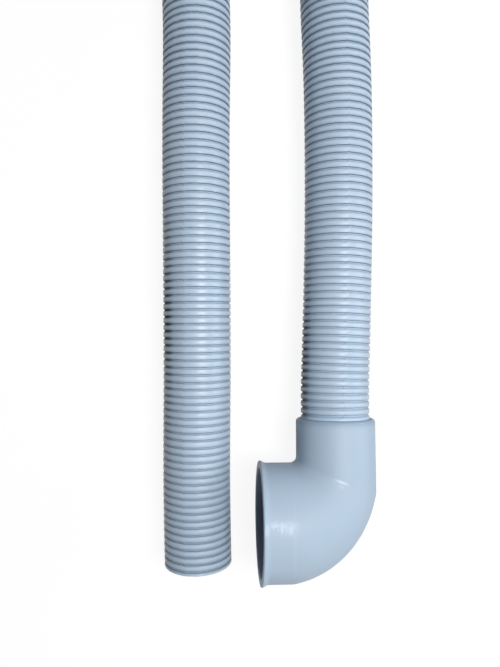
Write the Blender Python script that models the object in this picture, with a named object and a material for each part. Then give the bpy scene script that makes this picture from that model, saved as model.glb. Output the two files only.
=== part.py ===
"""Elbow drain hose for a washing machine.

A ribbed drain hose is pushed into the collar of a moulded elbow, whose wide mouth slips over a
drain spigot. The assembly lies on the floor z = 0, as it would come to rest, and the origin is at
the bottom centre of the elbow. Metres, +Z up.
"""
from math import ceil, cos, pi, radians, sin

import bmesh
import bpy
import numpy as np
from mathutils import Matrix, Vector

MM = 0.001

# Hose section
HOSE_OUTER_D = 33.0 * MM
RIB_DEPTH = 1.25 * MM
HOSE_WALL = 1.0 * MM
HOSE_BORE_D = HOSE_OUTER_D - 2 * (RIB_DEPTH + HOSE_WALL)
RIB_PITCH = 3.4 * MM
HOSE_SIDES = 10

# How finely the hose is drawn: every rib on the two end stretches, one in five on the stored loop
ELBOW_STRETCH = 240.0 * MM
CUT_STRETCH = 285.0 * MM
STORED_RIB_STEP = 5
BORE_STEP_STRAIGHT = 36.0 * MM
BORE_STEP_LOOP = 17.0 * MM
ROUTE_SAMPLES = 6000

# Elbow, about the point where the collar's axis (+Y) crosses the mouth's axis (-X)
FIT_GAP = 0.3 * MM
COLLAR_WALL = 2.1 * MM
COLLAR_OUTER_D = HOSE_OUTER_D + 2 * (FIT_GAP + COLLAR_WALL)
COLLAR_EDGE = min(1.1 * MM, COLLAR_WALL / 2)
BELL_BORE_D = 49.8 * MM
BELL_WALL = 2.2 * MM
BELL_OUTER_D = BELL_BORE_D + 2 * BELL_WALL
LIP_PROUD = 1.1 * MM
LIP_WIDTH = 2.4 * MM
LIP_EDGE = min(0.7 * MM, BELL_WALL / 3)
THROAT_FILLET = 3.0 * MM
SKIRT_LENGTH = 14.9 * MM
BELL_REACH = COLLAR_OUTER_D / 2 + THROAT_FILLET + SKIRT_LENGTH
SOCKET_DEPTH = 17.0 * MM
SOCKET_LAND = 1.3 * MM
SOCKET_SEAT = BELL_OUTER_D / 2 + THROAT_FILLET + SOCKET_LAND
SOCKET_LEAD_IN = 0.3 * MM
COLLAR_LENGTH = SOCKET_SEAT + SOCKET_DEPTH
CREASE_ANGLE = radians(22.0)
HEEL_FULLNESS = 0.25
BEND_RINGS_STRAIGHT = 3
BEND_RINGS_HEEL = 7
ELBOW_SIDES = 28

# How the elbow lies: mouth tipped up a little, collar dipping towards the hose
MOUTH_TIP = radians(3.3)
COLLAR_DIP = radians(5.0)
ELBOW_X = 9.73 * MM
ELBOW_Y = -10.92 * MM
STRAIGHT_PAST_COLLAR = 10.0 * MM

# The hose's way along the floor after the collar: x, y in mm, and the share of the collar's
# height above the resting hose that is left there
ROUTE = [
    (10.6, 75.0, 0.46), (11.4, 104.0, 0.18), (11.9, 133.0, 0.04), (11.9, 162.0, 0.005),
    (11.5, 192.0, 0.0), (10.5, 220.0, 0.0), (9.7, 250.0, 0.0), (18.5, 296.0, 0.0),
    (43.5, 341.5, 0.0), (83.0, 383.5, 0.0), (113.5, 439.5, 0.0), (118.5, 507.5, 0.0),
    (94.5, 567.5, 0.0), (44.0, 612.5, 0.0), (-23.0, 629.0, 0.0), (-90.0, 612.5, 0.0),
    (-140.5, 568.0, 0.0), (-165.0, 507.5, 0.0), (-160.5, 439.5, 0.0), (-130.5, 384.0, 0.0),
    (-91.0, 341.5, 0.0), (-66.5, 296.0, 0.0), (-58.2, 250.0, 0.0), (-57.6, 190.0, 0.0),
    (-57.5, 123.0, 0.0), (-57.3, 50.0, 0.0), (-57.5, 5.0, 0.0), (-56.9, -34.6, 0.0),
]

# Finishes
HOSE_COLOUR = (0.45, 0.54, 0.66, 1.0)
HOSE_ROUGHNESS = 0.45
ELBOW_COLOUR = (0.38, 0.46, 0.56, 1.0)
ELBOW_ROUGHNESS = 0.4


def clear_scene():
    """Remove whatever the open file holds."""
    for item in list(bpy.data.objects):
        bpy.data.objects.remove(item, do_unlink=True)


def make_material(name, colour, roughness):
    """A plain soft plastic."""
    material = bpy.data.materials.new(name)
    material.use_nodes = True
    shader = material.node_tree.nodes["Principled BSDF"]
    shader.inputs["Base Color"].default_value = colour
    shader.inputs["Roughness"].default_value = roughness
    shader.inputs["Metallic"].default_value = 0.0
    return material


def tube_object(name, rings, material):
    """Join closed rings of points end to end, and the last to the first, into a hollow tube."""
    mesh = bmesh.new()
    loops = [[mesh.verts.new(point) for point in ring] for ring in rings]
    for number, loop in enumerate(loops):
        following = loops[(number + 1) % len(loops)]
        for side in range(len(loop)):
            nextside = (side + 1) % len(loop)
            mesh.faces.new((loop[side], loop[nextside], following[nextside], following[side]))
    bmesh.ops.recalc_face_normals(mesh, faces=mesh.faces)
    data = bpy.data.meshes.new(name)
    mesh.to_mesh(data)
    mesh.free()
    data.shade_smooth()
    data.materials.append(material)
    made = bpy.data.objects.new(name, data)
    bpy.context.collection.objects.link(made)
    return made


def ellipse(centre, across, up, half_across, half_up, sides):
    """A ring of points; the first lies at the far end of the across direction."""
    ring = []
    for number in range(sides):
        angle = 2 * pi * number / sides
        ring.append(centre + across * (half_across * cos(angle)) + up * (half_up * sin(angle)))
    return ring


def collar_ring(along, radius):
    """A round section of the collar, at a distance along its axis."""
    centre = Vector((0.0, along, 0.0))
    return ellipse(centre, Vector((1, 0, 0)), Vector((0, 0, 1)), radius, radius, ELBOW_SIDES)


def mouth_ring(along, radius):
    """A round section of the bell, at a distance along the mouth's axis."""
    centre = Vector((-along, 0.0, 0.0))
    return ellipse(centre, Vector((0, -1, 0)), Vector((0, 0, 1)), radius, radius, ELBOW_SIDES)


def throat_pivot():
    """Centre of the fillet in the inner corner, about which the bend's sections turn."""
    return Vector((-COLLAR_OUTER_D / 2 - THROAT_FILLET, BELL_OUTER_D / 2 + THROAT_FILLET, 0.0))


def heel_share(angle):
    """How far the bend has opened from the collar's section to the bell's, 0 to 1."""
    run = max(0.0, (angle - CREASE_ANGLE) / (pi / 2 - CREASE_ANGLE))
    soft = run * run * (3 - 2 * run)
    return (1 - HEEL_FULLNESS) * run + HEEL_FULLNESS * soft


def bend_ring(angle, wall):
    """A section of the bend at an angle about the pivot; the wall is 0 for the outside."""
    straight_reach = (THROAT_FILLET + COLLAR_OUTER_D) / cos(min(angle, CREASE_ANGLE))
    full_reach = THROAT_FILLET + BELL_OUTER_D
    share = heel_share(angle)
    reach = straight_reach + (full_reach - straight_reach) * share
    half_up = (COLLAR_OUTER_D + (BELL_OUTER_D - COLLAR_OUTER_D) * share) / 2 - wall
    across = Vector((cos(angle), -sin(angle), 0.0))
    centre = throat_pivot() + across * ((THROAT_FILLET + reach) / 2)
    half_across = (reach - THROAT_FILLET) / 2 - wall
    return ellipse(centre, across, Vector((0, 0, 1)), half_across, half_up, ELBOW_SIDES)


def bend_angles():
    """Section angles: the straight part down to the crease, then the swelling heel."""
    straight = [CREASE_ANGLE * step / BEND_RINGS_STRAIGHT for step in range(BEND_RINGS_STRAIGHT)]
    sweep = pi / 2 - CREASE_ANGLE
    heel = [CREASE_ANGLE + sweep * step / BEND_RINGS_HEEL for step in range(BEND_RINGS_HEEL + 1)]
    return straight + heel


def bend_wall(angle):
    """Wall of the bend, from the waterway's thick shoulder to the bell's thin skirt."""
    shoulder = (COLLAR_OUTER_D - HOSE_BORE_D) / 2
    return shoulder + (BELL_WALL - shoulder) * angle / (pi / 2)


def elbow_outside():
    """Sections of the outside, from the collar's edge to the lip of the mouth."""
    collar_r = COLLAR_OUTER_D / 2
    rings = [
        collar_ring(COLLAR_LENGTH, collar_r - COLLAR_EDGE),
        collar_ring(COLLAR_LENGTH - 0.3 * COLLAR_EDGE, collar_r - 0.3 * COLLAR_EDGE),
        collar_ring(COLLAR_LENGTH - COLLAR_EDGE, collar_r),
    ]
    rings += [bend_ring(angle, 0.0) for angle in bend_angles()]
    lip_r = BELL_OUTER_D / 2 + LIP_PROUD
    rings += [
        mouth_ring(BELL_REACH - LIP_WIDTH, BELL_OUTER_D / 2),
        mouth_ring(BELL_REACH - LIP_WIDTH + 0.3 * LIP_EDGE, lip_r - 0.3 * LIP_EDGE),
        mouth_ring(BELL_REACH - LIP_WIDTH / 2, lip_r),
        mouth_ring(BELL_REACH - 0.3 * LIP_EDGE, lip_r - 0.4 * LIP_EDGE),
        mouth_ring(BELL_REACH, lip_r - LIP_EDGE),
    ]
    return rings


def socket_radius():
    """Bore of the collar; its flats clear the hose's ribs by the fit gap."""
    return (HOSE_OUTER_D / 2 + FIT_GAP) / cos(pi / ELBOW_SIDES)


def elbow_inside():
    """Sections of the inside, from the mouth back through the waterway to the socket."""
    rings = [
        mouth_ring(BELL_REACH, BELL_BORE_D / 2 + LIP_EDGE),
        mouth_ring(BELL_REACH - LIP_EDGE, BELL_BORE_D / 2),
    ]
    rings += [bend_ring(angle, bend_wall(angle)) for angle in reversed(bend_angles())]
    rings += [
        collar_ring(SOCKET_SEAT, HOSE_BORE_D / 2),
        collar_ring(SOCKET_SEAT, socket_radius()),
        collar_ring(COLLAR_LENGTH - SOCKET_LEAD_IN, socket_radius()),
        collar_ring(COLLAR_LENGTH, socket_radius() + SOCKET_LEAD_IN),
    ]
    return rings


def make_elbow(material):
    """The moulded elbow, laid on the floor on the lip of its mouth."""
    elbow = tube_object("elbow", elbow_outside() + elbow_inside(), material)
    lie = Matrix.Rotation(-COLLAR_DIP, 4, "X") @ Matrix.Rotation(MOUTH_TIP, 4, "Y")
    lowest = min((lie @ corner.co).z for corner in elbow.data.vertices)
    elbow.matrix_world = Matrix.Translation((ELBOW_X, ELBOW_Y, -lowest)) @ lie
    return elbow


def hose_points(elbow_place):
    """The hose's centre line: out of the socket along the collar's axis, then the route."""
    start = SOCKET_SEAT + FIT_GAP
    middle = (start + COLLAR_LENGTH) / 2
    past = COLLAR_LENGTH + STRAIGHT_PAST_COLLAR
    points = [elbow_place @ Vector((0, along, 0)) for along in (start, middle, COLLAR_LENGTH, past)]
    rest_height = HOSE_OUTER_D / 2
    lift = points[2].z - rest_height
    for x, y, share in ROUTE:
        points.append(Vector((x * MM, y * MM, rest_height + lift * share)))
    return points


def smooth_curve(points, samples):
    """Natural cubic spline through the points, sampled evenly along their chords."""
    places = np.array([tuple(point) for point in points])
    gaps = np.linalg.norm(np.diff(places, axis=0), axis=1)
    knots = np.concatenate([[0.0], np.cumsum(gaps)])
    count = len(places)
    system = np.eye(count)
    slopes = np.zeros_like(places)
    for i in range(1, count - 1):
        before, after = gaps[i - 1], gaps[i]
        system[i, i - 1:i + 2] = (before, 2 * (before + after), after)
        turn = (places[i + 1] - places[i]) / after - (places[i] - places[i - 1]) / before
        slopes[i] = 6 * turn
    bends = np.linalg.solve(system, slopes)
    at = np.linspace(0.0, knots[-1], samples)
    i = np.clip(np.searchsorted(knots, at) - 1, 0, count - 2)
    gap = gaps[i][:, None]
    left = (knots[i + 1] - at)[:, None]
    right = (at - knots[i])[:, None]
    cubic = (bends[i] * left ** 3 + bends[i + 1] * right ** 3) / (6 * gap)
    line_left = (places[i] / gap - bends[i] * gap / 6) * left
    line_right = (places[i + 1] / gap - bends[i + 1] * gap / 6) * right
    return cubic + line_left + line_right


class CentreLine:
    """A curve that gives its place and direction at any length along it."""

    def __init__(self, points):
        self.places = smooth_curve(points, ROUTE_SAMPLES)
        steps = np.linalg.norm(np.diff(self.places, axis=0), axis=1)
        self.lengths = np.concatenate([[0.0], np.cumsum(steps)])
        self.length = self.lengths[-1]
        self.headings = np.gradient(self.places, self.lengths, axis=0)

    def ring(self, along, radius):
        """A round section, with one corner straight down so that the hose rests on it."""
        columns = range(3)
        place = Vector([np.interp(along, self.lengths, self.places[:, c]) for c in columns])
        ahead = Vector([np.interp(along, self.lengths, self.headings[:, c]) for c in columns])
        side = ahead.cross(Vector((0, 0, 1))).normalized()
        down = ahead.cross(side).normalized()
        return ellipse(place, down, side, radius, radius, HOSE_SIDES)


def rib_crests(length):
    """Places of the ribs' crests, the first and the last on the hose's own ends."""
    ribs_at_elbow = round(ELBOW_STRETCH / RIB_PITCH)
    ribs_at_cut = round(CUT_STRETCH / RIB_PITCH)
    loop = length - (ribs_at_elbow + ribs_at_cut) * RIB_PITCH
    ribs_in_loop = max(1, round(loop / (RIB_PITCH * STORED_RIB_STEP)))
    crests = [number * RIB_PITCH for number in range(ribs_at_elbow)]
    start = ribs_at_elbow * RIB_PITCH
    crests += [start + loop * number / ribs_in_loop for number in range(ribs_in_loop)]
    start += loop
    crests += [start + number * RIB_PITCH for number in range(ribs_at_cut + 1)]
    return crests


def bore_stations(length):
    """Places of the smooth bore's sections, close together only round the loop."""
    loop_end = length - CUT_STRETCH
    stations = []
    runs = (
        (0.0, ELBOW_STRETCH, BORE_STEP_STRAIGHT),
        (ELBOW_STRETCH, loop_end, BORE_STEP_LOOP),
        (loop_end, length, BORE_STEP_STRAIGHT),
    )
    for start, end, step in runs:
        count = ceil((end - start) / step)
        stations += [start + (end - start) * number / count for number in range(count)]
    return stations + [length]


def make_hose(elbow_place, material):
    """The ribbed hose with its smooth bore, open at both ends."""
    line = CentreLine(hose_points(elbow_place))
    crest_r = HOSE_OUTER_D / 2
    groove_r = crest_r - RIB_DEPTH
    crests = rib_crests(line.length)
    rings = [line.ring(crests[0], crest_r)]
    for before, after in zip(crests, crests[1:]):
        rings.append(line.ring((before + after) / 2, groove_r))
        rings.append(line.ring(after, crest_r))
    for station in reversed(bore_stations(line.length)):
        rings.append(line.ring(station, HOSE_BORE_D / 2))
    return tube_object("hose", rings, material)


def main():
    clear_scene()
    hose_finish = make_material("hose_plastic", HOSE_COLOUR, HOSE_ROUGHNESS)
    elbow_finish = make_material("elbow_plastic", ELBOW_COLOUR, ELBOW_ROUGHNESS)
    elbow = make_elbow(elbow_finish)
    make_hose(elbow.matrix_world.copy(), hose_finish)


main()
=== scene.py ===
"""Dresses the elbow drain hose: the ribbed hose, the moulded elbow, floor, lamps and camera.

Everything is in metres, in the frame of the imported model: +Z up from the floor, origin under the
middle of the elbow. The hose lies on the floor and leaves the elbow's collar towards +Y.
"""
from math import cos, exp, pi, radians, sin

import bpy
import numpy as np
from mathutils import Matrix, Vector


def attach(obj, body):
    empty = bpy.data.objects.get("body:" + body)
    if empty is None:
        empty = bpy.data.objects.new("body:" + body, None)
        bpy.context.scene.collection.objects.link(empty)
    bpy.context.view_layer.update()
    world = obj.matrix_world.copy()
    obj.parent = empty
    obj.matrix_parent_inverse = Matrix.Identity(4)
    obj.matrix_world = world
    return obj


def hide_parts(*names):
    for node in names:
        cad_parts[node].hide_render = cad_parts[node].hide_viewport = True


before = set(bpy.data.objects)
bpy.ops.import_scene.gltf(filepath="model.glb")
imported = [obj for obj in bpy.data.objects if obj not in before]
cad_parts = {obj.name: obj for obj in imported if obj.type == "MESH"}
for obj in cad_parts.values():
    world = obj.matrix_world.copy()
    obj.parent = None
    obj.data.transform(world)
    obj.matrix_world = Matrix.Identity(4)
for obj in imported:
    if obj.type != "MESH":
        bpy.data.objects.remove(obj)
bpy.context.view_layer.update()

MM = 0.001
SEED = 7
UP = Vector((0.0, 0.0, 1.0))

# Hose, as in the model
HOSE_OUTER_D = 33.0 * MM
RIB_DEPTH = 1.25 * MM
HOSE_WALL = 1.0 * MM
HOSE_BORE_D = HOSE_OUTER_D - 2 * (RIB_DEPTH + HOSE_WALL)
RIB_PITCH = 3.4 * MM

# Elbow, as in the model
FIT_GAP = 0.3 * MM
COLLAR_WALL = 2.1 * MM
COLLAR_OUTER_D = HOSE_OUTER_D + 2 * (FIT_GAP + COLLAR_WALL)
BELL_BORE_D = 49.8 * MM
BELL_WALL = 2.2 * MM
BELL_OUTER_D = BELL_BORE_D + 2 * BELL_WALL
LIP_PROUD = 1.1 * MM
LIP_WIDTH = 2.4 * MM
LIP_EDGE = 0.7 * MM
THROAT_FILLET = 3.0 * MM
SKIRT_LENGTH = 14.9 * MM
BELL_REACH = COLLAR_OUTER_D / 2 + THROAT_FILLET + SKIRT_LENGTH
SOCKET_DEPTH = 17.0 * MM
SOCKET_LAND = 1.3 * MM
SOCKET_SEAT = BELL_OUTER_D / 2 + THROAT_FILLET + SOCKET_LAND
SOCKET_LEAD_IN = 0.3 * MM
COLLAR_LENGTH = SOCKET_SEAT + SOCKET_DEPTH
CREASE_ANGLE = radians(22.0)
HEEL_FULLNESS = 0.25

# How the elbow lies, as in the model
MOUTH_TIP = radians(3.3)
COLLAR_DIP = radians(5.0)
ELBOW_X = 9.73 * MM
ELBOW_Y = -10.92 * MM
STRAIGHT_PAST_COLLAR = 10.0 * MM

# Elbow's mesh; the collar's edge is rounder than the model's
COLLAR_EDGE = 1.6 * MM
RIM_STEPS = 6
LIP_ROUNDING = LIP_WIDTH / 4
LIP_ROLL_START = radians(135.0)
LIP_STEPS = 6
MOUTH_EDGE_STEPS = 5
ELBOW_SIDES = 112
BEND_RINGS_STRAIGHT = 8
BEND_RINGS_HEEL = 26

# Flare of the lip: place past its foot in shares of the width, rise in shares of the height
LIP_FLARE = [(-0.5, 0.0), (0.0, 0.1), (0.25, 0.55)]

# Shade behind the collar's rim: its share at each distance back from the edge
RIM_BANDS = {2.2 * MM: 0.5, 3.8 * MM: 0.0}

# Painted shade inside the elbow, in rings: where it starts past the lip, and where it ends
INSIDE_START = 4
INSIDE_SPAN = 3
SOCKET_MOUTH_RINGS = 2

# The hose's route after the collar, as in the model: x, y in mm, share of the collar's height
ROUTE = [
    (10.6, 75.0, 0.46), (11.4, 104.0, 0.18), (11.9, 133.0, 0.04), (11.9, 162.0, 0.005),
    (11.5, 192.0, 0.0), (10.5, 220.0, 0.0), (9.7, 250.0, 0.0), (18.5, 296.0, 0.0),
    (43.5, 341.5, 0.0), (83.0, 383.5, 0.0), (113.5, 439.5, 0.0), (118.5, 507.5, 0.0),
    (94.5, 567.5, 0.0), (44.0, 612.5, 0.0), (-23.0, 629.0, 0.0), (-90.0, 612.5, 0.0),
    (-140.5, 568.0, 0.0), (-165.0, 507.5, 0.0), (-160.5, 439.5, 0.0), (-130.5, 384.0, 0.0),
    (-91.0, 341.5, 0.0), (-66.5, 296.0, 0.0), (-58.2, 250.0, 0.0), (-57.6, 190.0, 0.0),
    (-57.5, 123.0, 0.0), (-57.3, 50.0, 0.0), (-57.5, 5.0, 0.0), (-56.9, -34.6, 0.0),
]
ROUTE_SAMPLES = 12000
PATH_STEP = 10.0 * MM

# A rib: place from its groove in pitches, share of the groove's depth, share of its painted shade
# line
FINE_RIB = [
    (-0.28, 0.05, 0.0), (-0.13, 0.2, 0.15), (-0.09, 0.65, 0.75), (-0.07, 0.74, 0.12),
    (0.07, 0.74, 0.12), (0.09, 0.65, 1.0), (0.13, 0.15, 0.85), (0.22, 0.06, 0.1),
]
PLAIN_RIB = [(-0.2, 0.2, 0.15), (0.02, 1.0, 0.8), (0.15, 0.1, 0.3)]
FINE_AT_ELBOW = 215.0 * MM
FINE_AT_CUT = 280.0 * MM

# Ribs are shallower than the model's, open out towards the elbow, and vary a little
RIB_FLATNESS = 0.7
RIB_OPENING = 0.3
RIB_OPENING_LENGTH = 45.0 * MM
RIB_ROUNDING = 0.4
# RIB_CLEARING fades the painted shade lines out towards the elbow
RIB_CLEARING = 0.7
RIB_PLACE_SPREAD = 0.06 * MM
RIB_DEPTH_SPREAD = 0.08

# The painted shade lines widen with the distance along Y from the camera's foot
SHADE_WIDENING = 0.6
SHADE_REACH = 125.0 * MM

# Hose's mesh, with the two seams of its moulds; the columns are in half widths of a seam
HOSE_SIDES = 26
BORE_STEP = 15.0 * MM
SEAM_ANGLE = radians(7.0)
SEAM_TWIST = radians(10.0)
SEAM_HALF_WIDTH = radians(1.6)
SEAM_COLUMNS = (-3.5, -1.0, 0.0, 1.0, 3.5)
SEAM_MARGIN = radians(7.5)
SEAM_SLIP = 0.24 * MM
SEAM_FLASH = 0.3

# Painted shadow in the groove ends low on the sides, lit (towards +X) and far, and its spread over
# a groove
SIDE_FROM_LIT = radians(50.0)
SIDE_FROM_AT_ELBOW = radians(55.0)
SIDE_FROM_AT_CUT = radians(28.0)
SIDE_SPAN = radians(20.0)
SIDE_SPREAD = 9.0
SIDE_LIT_SHARE = 0.2
SIDE_FAR_SHARE = 1.0

# Where along Y the groove ends are darkest, on the two runs that the photo shows
SIDE_MIDDLE_AT_ELBOW = 63.0 * MM
SIDE_MIDDLE_AT_CUT = 86.0 * MM
SIDE_REACH = 45.0 * MM
SIDE_BASE = 0.1

# Camera: pixels are those of the 500 x 667 photograph, and the sensor is in mm
PHOTO_HEIGHT = 667
FOCAL_PIXELS = 540.0
FOOT_PIXEL_Y = 318.0
SENSOR = 36.0
CAMERA_X = -31.35 * MM
CAMERA_Y = 85.6 * MM
CAMERA_HEIGHT = 282.2 * MM
CAMERA_TILT = radians(0.8)
CLIP_START = 10.0 * MM

# Colours, linear
WHITE = (1.0, 1.0, 1.0, 1.0)
HOSE_CREST = (0.497, 0.625, 0.77, 1.0)
HOSE_CREST_PALE = (0.55, 0.68, 0.82, 1.0)
# Groove paint a little darker than the crests, a painted shade
HOSE_FLOOR = (0.45, 0.58, 0.72, 1.0)
# Painted shade lines on the groove walls
HOSE_SHADE = (0.07, 0.125, 0.205, 1.0)
# Painted shadow at the groove ends low on the hose's sides
HOSE_GROOVE_SHADOW = (0.008, 0.012, 0.022, 1.0)
HOSE_SPECK = (0.72, 0.80, 0.88, 1.0)
ELBOW_TINT = (0.425, 0.542, 0.67, 1.0)
ELBOW_PALE = (0.463, 0.58, 0.71, 1.0)
# Pale scuff colour, also a painted highlight on the bell
ELBOW_SCUFF_AND_HIGHLIGHT = (0.66, 0.78, 0.90, 1.0)
# Colour of a moulded ring, also the painted shade on the collar's rim
ELBOW_RING_AND_RIM_SHADE = (0.30, 0.40, 0.52, 1.0)
# Painted shade on the collar's left edge
ELBOW_SHADE = (0.20, 0.22, 0.26, 1.0)
# Painted shade inside the elbow
ELBOW_INSIDE = (0.20, 0.235, 0.33, 1.0)
FLOOR_COLOUR = (0.14, 0.14, 0.14, 1.0)

# Noise of the plastics: scales and details, and the values between which a noise takes effect
HOSE_CLOUD_SCALE = 45.0
HOSE_GRAIN_SCALE = 420.0
ELBOW_CLOUD_SCALE = 60.0
ELBOW_GRAIN_SCALE = 500.0
STREAK_SCALE = 650.0
STREAK_STRETCH = 0.35
CLOUD_DETAIL = 3.0
GRAIN_DETAIL = 4.0
STREAK_DETAIL = 2.0
NOISE_MIDDLE = (0.3, 0.7)
SPECK_NOISE = (0.62, 0.75)
STREAK_NOISE = (0.42, 0.60)

# Finish: a pair is the two ends that a noise or a layer moves a value between
SPECK_SHARES = (0.0, 0.15)
LINE_SHARES = (0.85, 1.0)
STREAK_SHARES = (0.1, 1.0)
HOSE_ROUGHNESS = (0.28, 0.38)
HOSE_SPECULAR = (0.4, 0.02)
ELBOW_ROUGHNESS = (0.42, 0.52)
ELBOW_SPECULAR = 0.25
SCUFF_POLISH = 0.2
BUMP_HEIGHT = 0.3 * MM
HOSE_BUMP = 0.12
ELBOW_BUMP = 0.08

# Marks on the elbow in plan view: x, y, half sizes and turn
# The scuff: wear with a painted highlight on the bell's skirt
SCUFF_AND_HIGHLIGHT_PATCH = (-18.0 * MM, -3.9 * MM, 10.0 * MM, 3.5 * MM, 0.0)
SCUFF_AND_HIGHLIGHT_SHARE = 0.55
RING_MARK = (-19.4 * MM, -4.6 * MM, 1.1 * MM, 1.1 * MM, 0.0)
RING_LINE = (0.1, 0.4)
RING_SHARE = 0.12
# Painted shade along the collar's left edge
EDGE_SHADE = (-10.9 * MM, 28.0 * MM, 3.2 * MM, 12.0 * MM, 0.0)
EDGE_SHADE_SHARE = 0.8
# Painted shade on the collar's rim
RIM_SHARE = 0.6
SPOT_CORE = 0.35

# Painted highlights, each with its share last: a glint in two parts, a pale line on the skirt's
# shoulder, and the two ends of the scuff, which are wear with a painted highlight
HIGHLIGHTS_AND_SCUFF_ENDS = [
    (9.6 * MM, 12.4 * MM, 4.2 * MM, 0.75 * MM, radians(-22.0), 0.65),
    (9.4 * MM, 10.5 * MM, 2.0 * MM, 0.9 * MM, radians(-22.0), 0.25),
    (-12.0 * MM, -12.0 * MM, 1.5 * MM, 24.0 * MM, 0.0, 0.09),
    (-24.0 * MM, -4.3 * MM, 1.7 * MM, 3.6 * MM, 0.0, 0.42),
    (-13.9 * MM, -4.5 * MM, 1.7 * MM, 3.2 * MM, 0.0, 0.55),
]

# Floor and sky
FLOOR_HALF = 30.0
FLOOR_ROUGHNESS = 0.9
FLOOR_GLOW = 0.9
SKY_STRENGTH = 0.05
SKY_SHOWN = 0.93

# Lamps: name, elevation, azimuth from +X, distance, size and power in watts
LAMPS = [
    ("overhead", radians(76.0), radians(0.0), 0.6, 0.24, 2.72),
    ("right_low", radians(20.0), radians(0.0), 0.9, 0.35, 2.1),
    ("front_low", radians(20.0), radians(270.0), 0.9, 0.35, 1.0),
    ("back_low", radians(20.0), radians(90.0), 0.9, 0.35, 1.0),
]
LAMP_AIM = Vector((0.0, 0.1, 0.0))

# Colour sockets of a Mix node, by number
MIX_FIRST = 6
MIX_SECOND = 7
MIX_RESULT = 2


def bend_fit(points, samples):
    """Natural cubic spline through the points, sampled evenly along their chords."""
    places = np.array([tuple(point) for point in points])
    gaps = np.linalg.norm(np.diff(places, axis=0), axis=1)
    knots = np.concatenate([[0.0], np.cumsum(gaps)])
    count = len(places)
    system = np.eye(count)
    slopes = np.zeros_like(places)
    for i in range(1, count - 1):
        before, after = gaps[i - 1], gaps[i]
        system[i, i - 1:i + 2] = (before, 2 * (before + after), after)
        turn = (places[i + 1] - places[i]) / after - (places[i] - places[i - 1]) / before
        slopes[i] = 6 * turn
    bends = np.linalg.solve(system, slopes)
    at = np.linspace(0.0, knots[-1], samples)
    i = np.clip(np.searchsorted(knots, at) - 1, 0, count - 2)
    gap = gaps[i][:, None]
    left = (knots[i + 1] - at)[:, None]
    right = (at - knots[i])[:, None]
    cubic = (bends[i] * left ** 3 + bends[i + 1] * right ** 3) / (6 * gap)
    line_left = (places[i] / gap - bends[i] * gap / 6) * left
    line_right = (places[i + 1] / gap - bends[i + 1] * gap / 6) * right
    return cubic + line_left + line_right


class CentreLine:
    """The hose's centre line, read by length along it."""

    def __init__(self, points):
        self.places = bend_fit(points, ROUTE_SAMPLES)
        steps = np.linalg.norm(np.diff(self.places, axis=0), axis=1)
        self.lengths = np.concatenate([[0.0], np.cumsum(steps)])
        self.length = self.lengths[-1]
        self.headings = np.gradient(self.places, self.lengths, axis=0)

    def read(self, table, along):
        return np.stack([np.interp(along, self.lengths, table[:, c]) for c in range(3)], axis=-1)

    def surface(self, along, angle, radius):
        """Points at lengths along the line, at angles from the crown and radii; all arrays."""
        place = self.read(self.places, along)
        ahead = self.read(self.headings, along)
        ahead /= np.linalg.norm(ahead, axis=-1, keepdims=True)
        side = np.cross(ahead, np.array(UP))
        side /= np.linalg.norm(side, axis=-1, keepdims=True)
        crown = np.cross(side, ahead)
        around = crown * np.cos(angle)[..., None] + side * np.sin(angle)[..., None]
        return place + around * radius[..., None]


def ellipse(centre, across, half_across, half_up):
    """An upright ring of points; the first lies at the far end of the across direction."""
    ring = []
    for number in range(ELBOW_SIDES):
        angle = 2 * pi * number / ELBOW_SIDES
        ring.append(centre + across * (half_across * cos(angle)) + UP * (half_up * sin(angle)))
    return ring


def collar_ring(along, radius):
    return ellipse(Vector((0.0, along, 0.0)), Vector((1.0, 0.0, 0.0)), radius, radius)


def mouth_ring(along, radius):
    return ellipse(Vector((-along, 0.0, 0.0)), Vector((0.0, -1.0, 0.0)), radius, radius)


def throat_pivot():
    return Vector((-COLLAR_OUTER_D / 2 - THROAT_FILLET, BELL_OUTER_D / 2 + THROAT_FILLET, 0.0))


def heel_share(angle):
    """How far the bend has opened from the collar's section to the bell's, 0 to 1."""
    run = max(0.0, (angle - CREASE_ANGLE) / (pi / 2 - CREASE_ANGLE))
    soft = run * run * (3 - 2 * run)
    return (1 - HEEL_FULLNESS) * run + HEEL_FULLNESS * soft


def bend_ring(angle, wall):
    """A section of the bend at an angle about the pivot; the wall is 0 for the outside."""
    straight_reach = (THROAT_FILLET + COLLAR_OUTER_D) / cos(min(angle, CREASE_ANGLE))
    full_reach = THROAT_FILLET + BELL_OUTER_D
    share = heel_share(angle)
    reach = straight_reach + (full_reach - straight_reach) * share
    half_up = (COLLAR_OUTER_D + (BELL_OUTER_D - COLLAR_OUTER_D) * share) / 2 - wall
    across = Vector((cos(angle), -sin(angle), 0.0))
    centre = throat_pivot() + across * ((THROAT_FILLET + reach) / 2)
    return ellipse(centre, across, (reach - THROAT_FILLET) / 2 - wall, half_up)


def bend_angles():
    straight = [CREASE_ANGLE * step / BEND_RINGS_STRAIGHT for step in range(BEND_RINGS_STRAIGHT)]
    sweep = pi / 2 - CREASE_ANGLE
    heel = [CREASE_ANGLE + sweep * step / BEND_RINGS_HEEL for step in range(BEND_RINGS_HEEL + 1)]
    return straight + heel


def bend_wall(angle):
    shoulder = (COLLAR_OUTER_D - HOSE_BORE_D) / 2
    return shoulder + (BELL_WALL - shoulder) * angle / (pi / 2)


def rounded(centre, radius, start, end, steps):
    """Points (along, radius) of a rounded edge about a centre, from one angle to another."""
    points = []
    for step in range(steps + 1):
        angle = start + (end - start) * step / steps
        points.append((centre[0] + radius * cos(angle), centre[1] + radius * sin(angle)))
    return points


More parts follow.
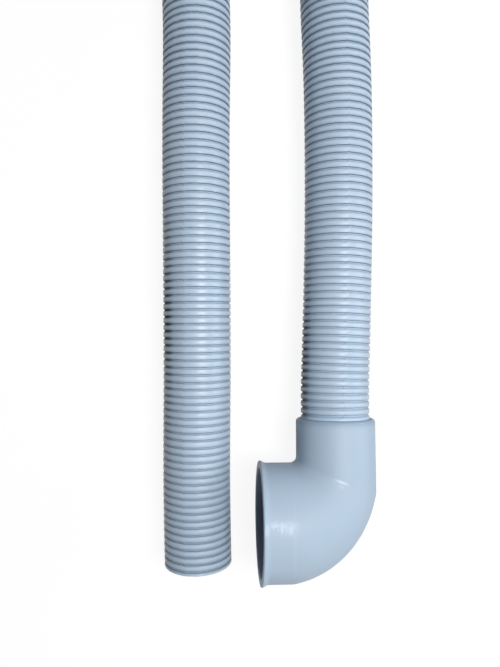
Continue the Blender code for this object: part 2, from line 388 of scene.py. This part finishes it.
def collar_outside():
    """The collar's rounded rim, then the bands in which its shade fades."""
    collar_r = COLLAR_OUTER_D / 2
    centre = (COLLAR_LENGTH - COLLAR_EDGE, collar_r - COLLAR_EDGE)
    rim = rounded(centre, COLLAR_EDGE, 0.0, pi / 2, RIM_STEPS)
    bands = [(COLLAR_LENGTH - back, collar_r) for back in RIM_BANDS]
    return [collar_ring(*point) for point in rim + bands]


def lip():
    """The lip of the mouth: a flare off the bell, a roll to its face, and the bore's edge."""
    bell_r = BELL_OUTER_D / 2
    foot = BELL_REACH - LIP_WIDTH
    flare = [(foot + past * LIP_WIDTH, bell_r + rise * LIP_PROUD) for past, rise in LIP_FLARE]
    roll_centre = (BELL_REACH - LIP_ROUNDING, bell_r + LIP_PROUD - LIP_ROUNDING)
    roll = rounded(roll_centre, LIP_ROUNDING, LIP_ROLL_START, 0.0, LIP_STEPS)
    bore_centre = (BELL_REACH - LIP_EDGE, BELL_BORE_D / 2 + LIP_EDGE)
    bore = rounded(bore_centre, LIP_EDGE, 0.0, -pi / 2, MOUTH_EDGE_STEPS)
    return [mouth_ring(*point) for point in flare + roll + bore]


def socket():
    """The hose's socket in the collar, from the shoulder at its bottom to its mouth."""
    socket_r = HOSE_OUTER_D / 2 + FIT_GAP
    points = [
        (SOCKET_SEAT, HOSE_BORE_D / 2),
        (SOCKET_SEAT, socket_r),
        (COLLAR_LENGTH - SOCKET_LEAD_IN, socket_r),
        (COLLAR_LENGTH, socket_r + SOCKET_LEAD_IN),
    ]
    return [collar_ring(*point) for point in points]


def elbow_rings():
    """Sections of the elbow: outside from collar to lip, then inside back to the collar."""
    angles = bend_angles()
    outside = [bend_ring(angle, 0.0) for angle in angles]
    inside = [bend_ring(angle, bend_wall(angle)) for angle in reversed(angles)]
    return collar_outside() + outside + lip() + inside + socket()


def grid_object(name, grid):
    """A closed skin of quads from a grid of points, joined round both its rows and columns."""
    rows, columns = grid.shape[:2]
    row = np.arange(rows)[:, None]
    column = np.arange(columns)[None, :]
    next_row = (row + 1) % rows
    next_column = (column + 1) % columns
    corners = [row * columns + column, row * columns + next_column,
               next_row * columns + next_column, next_row * columns + column]
    faces = np.stack(np.broadcast_arrays(*corners), axis=-1).reshape(-1, 4)
    data = bpy.data.meshes.new(name)
    data.from_pydata(grid.reshape(-1, 3).tolist(), [], faces.tolist())
    data.validate()
    data.shade_smooth()
    made = bpy.data.objects.new(name, data)
    bpy.context.collection.objects.link(made)
    return made


def add_layer(piece, name, values):
    """Store one number for each corner point of a mesh, for its material to read."""
    layer = piece.data.attributes.new(name, "FLOAT", "POINT")
    layer.data.foreach_set("value", np.asarray(values, dtype=np.float32))


def inside_share(grid):
    """For each ring, its share of painted shade: 0 outside and on the rims, rising to 1 further in.
    """
    count = len(grid)
    mouth_face = int(np.argmin(grid[:, :, 0].min(axis=1)))
    order = np.arange(count)
    within = (order - mouth_face - INSIDE_START) / INSIDE_SPAN
    return np.clip(np.minimum(within, count - SOCKET_MOUTH_RINGS - order), 0.0, 1.0)


def rim_share(count):
    """For each ring, its share of painted shade: 1 on the collar's rounded rim, fading to 0 over
    the bands behind it.
    """
    shares = [1.0] * (RIM_STEPS + 1) + list(RIM_BANDS.values())
    return np.array(shares + [0.0] * (count - len(shares)))


def make_elbow():
    """The moulded elbow, finer than the model's, lying on the lip of its mouth."""
    grid = np.array([[tuple(point) for point in ring] for ring in elbow_rings()])
    lie = Matrix.Rotation(-COLLAR_DIP, 4, "X") @ Matrix.Rotation(MOUTH_TIP, 4, "Y")
    turned = grid @ np.array(lie.to_3x3()).T
    place = Matrix.Translation((ELBOW_X, ELBOW_Y, -turned[..., 2].min())) @ lie
    elbow = grid_object("moulded_elbow", turned + np.array(place.translation))
    add_layer(elbow, "inside", np.repeat(inside_share(grid), ELBOW_SIDES))
    add_layer(elbow, "rim", np.repeat(rim_share(len(grid)), ELBOW_SIDES))
    elbow.data.flip_normals()
    return elbow, place


def hose_line(elbow_place):
    """The hose's centre line: out of the socket along the collar's axis, then the route."""
    start = SOCKET_SEAT + FIT_GAP
    middle = (start + COLLAR_LENGTH) / 2
    past = COLLAR_LENGTH + STRAIGHT_PAST_COLLAR
    points = [elbow_place @ Vector((0, along, 0)) for along in (start, middle, COLLAR_LENGTH, past)]
    rest_height = HOSE_OUTER_D / 2
    lift = points[2].z - rest_height
    for x, y, share in ROUTE:
        points.append(Vector((x * MM, y * MM, rest_height + lift * share)))
    return CentreLine(points)


def hose_angles():
    """Angles round the hose from its crown, with extra ones at the two seams of its moulds."""
    seams = (SEAM_ANGLE, SEAM_ANGLE + pi)
    plain = [2 * pi * number / HOSE_SIDES for number in range(HOSE_SIDES)]
    angles = []
    for angle in plain:
        if all(abs(angle - seam) > SEAM_MARGIN for seam in seams):
            angles.append(angle)
    for seam in seams:
        angles += [seam + offset * SEAM_HALF_WIDTH for offset in SEAM_COLUMNS]
    return np.array(sorted(angles))


def rib_profile(start, length):
    """One rib's table, turned round on the hose's second half, which runs the other way, so that
    its painted shade line falls on the same side on both runs.
    """
    fine = start < FINE_AT_ELBOW or start > length - FINE_AT_CUT
    lean = 1 if start < length / 2 else -1
    return sorted((lean * row[0], *row[1:]) for row in (FINE_RIB if fine else PLAIN_RIB))


def rib_stations(line):
    """Places along the hose with the groove's depth, its share and its painted shade line there."""
    random = np.random.default_rng(SEED)
    count = round(line.length / RIB_PITCH)
    pitch = line.length / count
    away_y = np.abs(line.places[:, 1] - CAMERA_Y)
    stations = [(0.0, 0.0, 0.0, 0.0)]
    for rib in range(count):
        start = (rib + 0.5) * pitch
        middle = start + random.normal(0.0, RIB_PLACE_SPREAD)
        opening = exp(-start / RIB_OPENING_LENGTH)
        full_depth = RIB_DEPTH * (RIB_FLATNESS + (1 - RIB_FLATNESS) * opening)
        full_depth *= 1 - abs(random.normal(0.0, RIB_DEPTH_SPREAD))
        wide = pitch * (1 + RIB_OPENING * opening)
        far = min(1.0, np.interp(start, line.lengths, away_y) / SHADE_REACH)
        for place, share, shade in rib_profile(start, line.length):
            share **= 1 - RIB_ROUNDING * opening
            shade **= 1 - SHADE_WIDENING * far
            shade *= 1 - RIB_CLEARING * opening
            stations.append((middle + place * wide, full_depth * share, share, shade))
        stations.append(((rib + 1) * pitch, 0.0, 0.0, 0.0))
    return np.array(stations).T


def groove_ends(line, along, groove, angles):
    """How much painted shadow the grooves get low on the hose's sides, most on the side away from
    +X.
    """
    turn = np.abs(np.arctan2(np.sin(angles), np.cos(angles)))
    facing = np.sin(angles) * np.interp(along, line.lengths, line.headings[:, 1])[:, None]
    far = (1 - facing) / 2
    ends = [0.0, line.length]
    far_start = np.interp(along, ends, [SIDE_FROM_AT_ELBOW, SIDE_FROM_AT_CUT])
    start = SIDE_FROM_LIT + (far_start[:, None] - SIDE_FROM_LIT) * far
    middle = np.interp(along, ends, [SIDE_MIDDLE_AT_ELBOW, SIDE_MIDDLE_AT_CUT])
    away_y = np.interp(along, line.lengths, line.places[:, 1]) - middle
    near = SIDE_BASE + (1 - SIDE_BASE) * np.exp(-(away_y / SIDE_REACH) ** 2)
    share = np.clip((turn - start) / SIDE_SPAN, 0.0, 1.0)
    share *= SIDE_LIT_SHARE + (SIDE_FAR_SHARE - SIDE_LIT_SHARE) * far
    return share * (near * np.clip(SIDE_SPREAD * groove, 0.0, 1.0))[:, None]


def hose_bore(line, angles):
    """The smooth bore, from the cut end back to the elbow."""
    rings = round(line.length / BORE_STEP) + 1
    along = np.repeat(np.linspace(line.length, 0.0, rings)[:, None], len(angles), axis=1)
    around = np.repeat(angles[None, :], rings, axis=0)
    return line.surface(along, around, np.full_like(along, HOSE_BORE_D / 2))


def make_hose(line):
    """The ribbed hose with its smooth bore, cut plainly at its free end."""
    angles = hose_angles()
    along, depth, groove, dark = rib_stations(line)
    seam = (np.abs(np.sin(angles - SEAM_ANGLE)) < sin(SEAM_HALF_WIDTH / 2)).astype(float)
    ends = np.clip(np.minimum(along, line.length - along) / RIB_PITCH, 0.0, 1.0)
    shifted = along[:, None] + SEAM_SLIP * seam[None, :] * ends[:, None]
    radius = HOSE_OUTER_D / 2 - depth[:, None] * (1 - SEAM_FLASH * seam[None, :])
    twisted = angles[None, :] + SEAM_TWIST * along[:, None] / line.length
    outside = line.surface(shifted, twisted, radius)
    bore = hose_bore(line, angles)
    hose = grid_object("ribbed_hose", np.concatenate([outside, bore]))
    side = groove_ends(line, along, groove, twisted)
    for name, values in (("groove", groove[:, None]), ("dark", dark[:, None]), ("side", side)):
        whole = np.broadcast_to(values, twisted.shape)
        add_layer(hose, name, np.concatenate([whole.ravel(), np.zeros(bore[..., 0].size)]))
    return hose


class Nodes:
    """A material's or world's node tree, built by short calls."""

    def __init__(self, tree):
        self.tree = tree

    def add(self, kind, values=None, **settings):
        node = self.tree.nodes.new(kind)
        for name, value in settings.items():
            setattr(node, name, value)
        for socket_name, value in (values or {}).items():
            self.feed(node.inputs[socket_name], value)
        return node

    def feed(self, target, value):
        if isinstance(value, bpy.types.NodeSocket):
            self.tree.links.new(value, target)
        else:
            target.default_value = value

    def layer(self, name):
        return self.add("ShaderNodeAttribute", attribute_name=name).outputs["Fac"]

    def math(self, operation, first, second=0.0):
        return self.add("ShaderNodeMath", {0: first, 1: second}, operation=operation).outputs[0]

    def remap(self, value, low, high, to_low, to_high):
        values = {"Value": value, "From Min": low, "From Max": high,
                  "To Min": to_low, "To Max": to_high}
        return self.add("ShaderNodeMapRange", values).outputs[0]

    def blend(self, share, first, second):
        node = self.add("ShaderNodeMix", data_type="RGBA")
        self.feed(node.inputs["Factor"], share)
        self.feed(node.inputs[MIX_FIRST], first)
        self.feed(node.inputs[MIX_SECOND], second)
        return node.outputs[MIX_RESULT]

    def noise(self, place, scale, detail):
        values = {"Vector": place, "Scale": scale, "Detail": detail}
        return self.add("ShaderNodeTexNoise", values).outputs["Fac"]


def new_material(name):
    """A material with a Principled shader; returns it, its nodes and the shader."""
    material = bpy.data.materials.new(name)
    material.use_nodes = True
    nodes = Nodes(material.node_tree)
    return material, nodes, material.node_tree.nodes["Principled BSDF"]


def add_grain(nodes, shader, grain, strength):
    """Fine unevenness of a moulded surface."""
    values = {"Strength": strength, "Distance": BUMP_HEIGHT, "Height": grain}
    bump = nodes.add("ShaderNodeBump", values)
    nodes.feed(shader.inputs["Normal"], bump.outputs[0])


def away(nodes, place, x, y, half_x, half_y, turn):
    """Distance from a point of the plan view, as a share of the two half sizes."""
    values = {"Vector": place, "Location": (x, y, 0.0), "Rotation": (0.0, 0.0, turn),
              "Scale": (half_x, half_y, 1.0)}
    mapping = nodes.add("ShaderNodeMapping", values, vector_type="TEXTURE")
    length = nodes.add("ShaderNodeVectorMath", {0: mapping.outputs[0]}, operation="LENGTH")
    return length.outputs["Value"]


def spot(nodes, place, *at):
    """1 in the middle of a patch of the plan view, falling to 0 at its rim."""
    return nodes.remap(away(nodes, place, *at), SPOT_CORE, 1.0, 1.0, 0.0)


def ring_mark(nodes, place):
    """A faint moulded ring on the skirt of the mouth."""
    far = away(nodes, place, *RING_MARK)
    off = nodes.math("ABSOLUTE", nodes.math("SUBTRACT", far, 1.0))
    return nodes.remap(off, *RING_LINE, RING_SHARE, 0.0)


def scuffs_and_highlights(nodes, place):
    """How pale the elbow is painted: a patch of broken streaks that is wear and a painted
    highlight, and single marks that are painted highlights.
    """
    values = {"Vector": place, "Scale": (1.0, STREAK_STRETCH, 1.0)}
    stretched = nodes.add("ShaderNodeMapping", values).outputs[0]
    streaks = nodes.noise(stretched, STREAK_SCALE, STREAK_DETAIL)
    broken = nodes.remap(streaks, *STREAK_NOISE, *STREAK_SHARES)
    scuff_and_highlight = nodes.math("MULTIPLY", spot(nodes, place, *SCUFF_AND_HIGHLIGHT_PATCH), broken)
    scuff_and_highlight = nodes.math("MULTIPLY", scuff_and_highlight, SCUFF_AND_HIGHLIGHT_SHARE)
    for *patch, share in HIGHLIGHTS_AND_SCUFF_ENDS:
        mark = nodes.math("MULTIPLY", spot(nodes, place, *patch), share)
        scuff_and_highlight = nodes.math("MAXIMUM", scuff_and_highlight, mark)
    return scuff_and_highlight


def elbow_colour(nodes, place, cloud, scuff_and_highlight):
    """The elbow's tint with its wear and painted highlights, its ring, painted shade on the
    collar's left edge and on its rim, and painted shade inside.
    """
    colour = nodes.blend(cloud, ELBOW_TINT, ELBOW_PALE)
    # Pale scuff wear and painted highlights
    colour = nodes.blend(scuff_and_highlight, colour, ELBOW_SCUFF_AND_HIGHLIGHT)
    colour = nodes.blend(ring_mark(nodes, place), colour, ELBOW_RING_AND_RIM_SHADE)
    # Painted shade along the collar's left edge
    edge = nodes.math("MULTIPLY", spot(nodes, place, *EDGE_SHADE), EDGE_SHADE_SHARE)
    colour = nodes.blend(edge, colour, ELBOW_SHADE)
    rim = nodes.math("MULTIPLY", nodes.layer("rim"), RIM_SHARE)
    # Painted shade on the collar's rim
    colour = nodes.blend(rim, colour, ELBOW_RING_AND_RIM_SHADE)
    # Painted shade inside the elbow
    return nodes.blend(nodes.layer("inside"), colour, ELBOW_INSIDE)


def smooth_plastic():
    """The elbow: smooth moulded plastic, glossier where it is worn and where highlights are
    painted.
    """
    material, nodes, shader = new_material("elbow_plastic")
    place = nodes.add("ShaderNodeTexCoord").outputs["Object"]
    cloud = nodes.noise(place, ELBOW_CLOUD_SCALE, CLOUD_DETAIL)
    scuff_and_highlight = scuffs_and_highlights(nodes, place)
    nodes.feed(shader.inputs["Base Color"], elbow_colour(nodes, place, cloud, scuff_and_highlight))
    rough = nodes.remap(cloud, *NOISE_MIDDLE, *ELBOW_ROUGHNESS)
    rough = nodes.math("SUBTRACT", rough, nodes.math("MULTIPLY", scuff_and_highlight, SCUFF_POLISH))
    nodes.feed(shader.inputs["Roughness"], rough)
    nodes.feed(shader.inputs["Specular IOR Level"], ELBOW_SPECULAR)
    add_grain(nodes, shader, nodes.noise(place, ELBOW_GRAIN_SCALE, GRAIN_DETAIL), ELBOW_BUMP)
    return material


def hose_colour(nodes, cloud, grain, groove, side, clear):
    """The crests' tint, a painted shade in the grooves, their painted shade lines and painted
    shadow at their ends, and pale specks.
    """
    crest = nodes.blend(cloud, HOSE_CREST, HOSE_CREST_PALE)
    # Painted shade in the grooves, by their depth
    colour = nodes.blend(groove, crest, HOSE_FLOOR)
    broken = nodes.remap(grain, *NOISE_MIDDLE, *LINE_SHARES)
    # Painted shade lines on the groove walls
    dark = nodes.math("MULTIPLY", nodes.layer("dark"), broken)
    colour = nodes.blend(dark, colour, HOSE_SHADE)
    # Painted shadow in the groove ends low on the hose's sides
    colour = nodes.blend(side, colour, HOSE_GROOVE_SHADOW)
    speck = nodes.math("MULTIPLY", nodes.remap(grain, *SPECK_NOISE, *SPECK_SHARES), clear)
    return nodes.blend(speck, colour, HOSE_SPECK)


def ribbed_plastic():
    """The hose: satin plastic, duller in its grooves and without shine where shadow is painted at
    their ends.
    """
    material, nodes, shader = new_material("hose_plastic")
    place = nodes.add("ShaderNodeTexCoord").outputs["Object"]
    cloud = nodes.noise(place, HOSE_CLOUD_SCALE, CLOUD_DETAIL)
    grain = nodes.noise(place, HOSE_GRAIN_SCALE, GRAIN_DETAIL)
    groove = nodes.layer("groove")
    side = nodes.layer("side")
    clear = nodes.math("SUBTRACT", 1.0, side)
    colour = hose_colour(nodes, cloud, grain, groove, side, clear)
    nodes.feed(shader.inputs["Base Color"], colour)
    rough = nodes.remap(cloud, *NOISE_MIDDLE, *HOSE_ROUGHNESS)
    nodes.feed(shader.inputs["Roughness"], rough)
    shine = nodes.math("MULTIPLY", nodes.remap(groove, 0.0, 1.0, *HOSE_SPECULAR), clear)
    nodes.feed(shader.inputs["Specular IOR Level"], shine)
    add_grain(nodes, shader, grain, HOSE_BUMP)
    return material


def seen_rays(nodes):
    """1 for the rays that show a surface to the camera, straight, mirrored or through glass."""
    path = nodes.add("ShaderNodeLightPath")
    seen = nodes.math("MAXIMUM", path.outputs["Is Camera Ray"], path.outputs["Is Glossy Ray"])
    return nodes.math("MAXIMUM", seen, path.outputs["Is Transmission Ray"])


def floor_paint():
    """A grey floor that glows only where it is seen, so it looks white with a faint shadow."""
    material, nodes, shader = new_material("floor_paint")
    nodes.feed(shader.inputs["Base Color"], FLOOR_COLOUR)
    nodes.feed(shader.inputs["Roughness"], FLOOR_ROUGHNESS)
    nodes.feed(shader.inputs["Specular IOR Level"], 0.0)
    glow = nodes.add("ShaderNodeEmission", {"Color": WHITE})
    nodes.feed(glow.inputs["Strength"], nodes.math("MULTIPLY", seen_rays(nodes), FLOOR_GLOW))
    both = nodes.add("ShaderNodeAddShader")
    nodes.feed(both.inputs[0], shader.outputs[0])
    nodes.feed(both.inputs[1], glow.outputs[0])
    output = material.node_tree.nodes["Material Output"]
    nodes.feed(output.inputs["Surface"], both.outputs[0])
    return material


def make_floor():
    corners = [(-FLOOR_HALF, -FLOOR_HALF, 0), (FLOOR_HALF, -FLOOR_HALF, 0),
               (FLOOR_HALF, FLOOR_HALF, 0), (-FLOOR_HALF, FLOOR_HALF, 0)]
    data = bpy.data.meshes.new("floor")
    data.from_pydata(corners, [], [(0, 1, 2, 3)])
    floor = bpy.data.objects.new("floor", data)
    bpy.context.collection.objects.link(floor)
    data.materials.append(floor_paint())


def make_lamp(name, place, target, size, power):
    light = bpy.data.lights.new(name, "AREA")
    light.shape = "SQUARE"
    light.size = size
    light.energy = power
    lamp = bpy.data.objects.new(name, light)
    lamp.location = place
    lamp.rotation_euler = (target - place).to_track_quat("-Z", "Y").to_euler()
    bpy.context.collection.objects.link(lamp)


def make_light():
    """A dim sky that is nearly white where it is seen, one high lamp and three low ones."""
    world = bpy.data.worlds.new("studio")
    bpy.context.scene.world = world
    world.use_nodes = True
    nodes = Nodes(world.node_tree)
    background = world.node_tree.nodes["Background"]
    nodes.feed(background.inputs["Color"], WHITE)
    strength = nodes.remap(seen_rays(nodes), 0.0, 1.0, SKY_STRENGTH, SKY_SHOWN)
    nodes.feed(background.inputs["Strength"], strength)
    for name, elevation, azimuth, distance, size, power in LAMPS:
        level = cos(elevation)
        way = Vector((level * cos(azimuth), level * sin(azimuth), sin(elevation)))
        make_lamp(name, LAMP_AIM + way * distance, LAMP_AIM, size, power)


def make_camera():
    """The photo's camera: straight down from its height, but for a slight tilt."""
    camera = bpy.data.cameras.new("photo_camera")
    camera.sensor_width = SENSOR
    camera.lens = SENSOR * FOCAL_PIXELS / PHOTO_HEIGHT
    tilt_pixels = FOCAL_PIXELS * sin(CAMERA_TILT)
    rest_pixels = PHOTO_HEIGHT / 2 - FOOT_PIXEL_Y - tilt_pixels
    camera.shift_y = -rest_pixels / PHOTO_HEIGHT
    camera.clip_start = CLIP_START
    holder = bpy.data.objects.new("photo_camera", camera)
    holder.location = (CAMERA_X, CAMERA_Y, CAMERA_HEIGHT)
    holder.rotation_euler = (-CAMERA_TILT, 0.0, 0.0)
    bpy.context.collection.objects.link(holder)
    bpy.context.scene.camera = holder


def add_elbow():
    """The elbow with its material and its place in the library's model; returns how it lies."""
    elbow, elbow_place = make_elbow()
    elbow.data.materials.append(smooth_plastic())
    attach(elbow, "root")
    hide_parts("elbow")
    return elbow_place


def add_hose(elbow_place):
    """The hose with its material and its place in the library's model; it also works out points
    along its centre line, which nothing uses.
    """
    line = hose_line(elbow_place)
    hose = make_hose(line)
    hose.data.materials.append(ribbed_plastic())
    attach(hose, "root")
    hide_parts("hose")
    count = round(line.length / PATH_STEP)
    path = line.read(line.places, np.linspace(0.0, line.length, count + 1)).tolist()


def main():
    make_camera()
    make_light()
    make_floor()
    add_hose(add_elbow())
    bpy.context.scene.view_settings.view_transform = "Standard"


main()
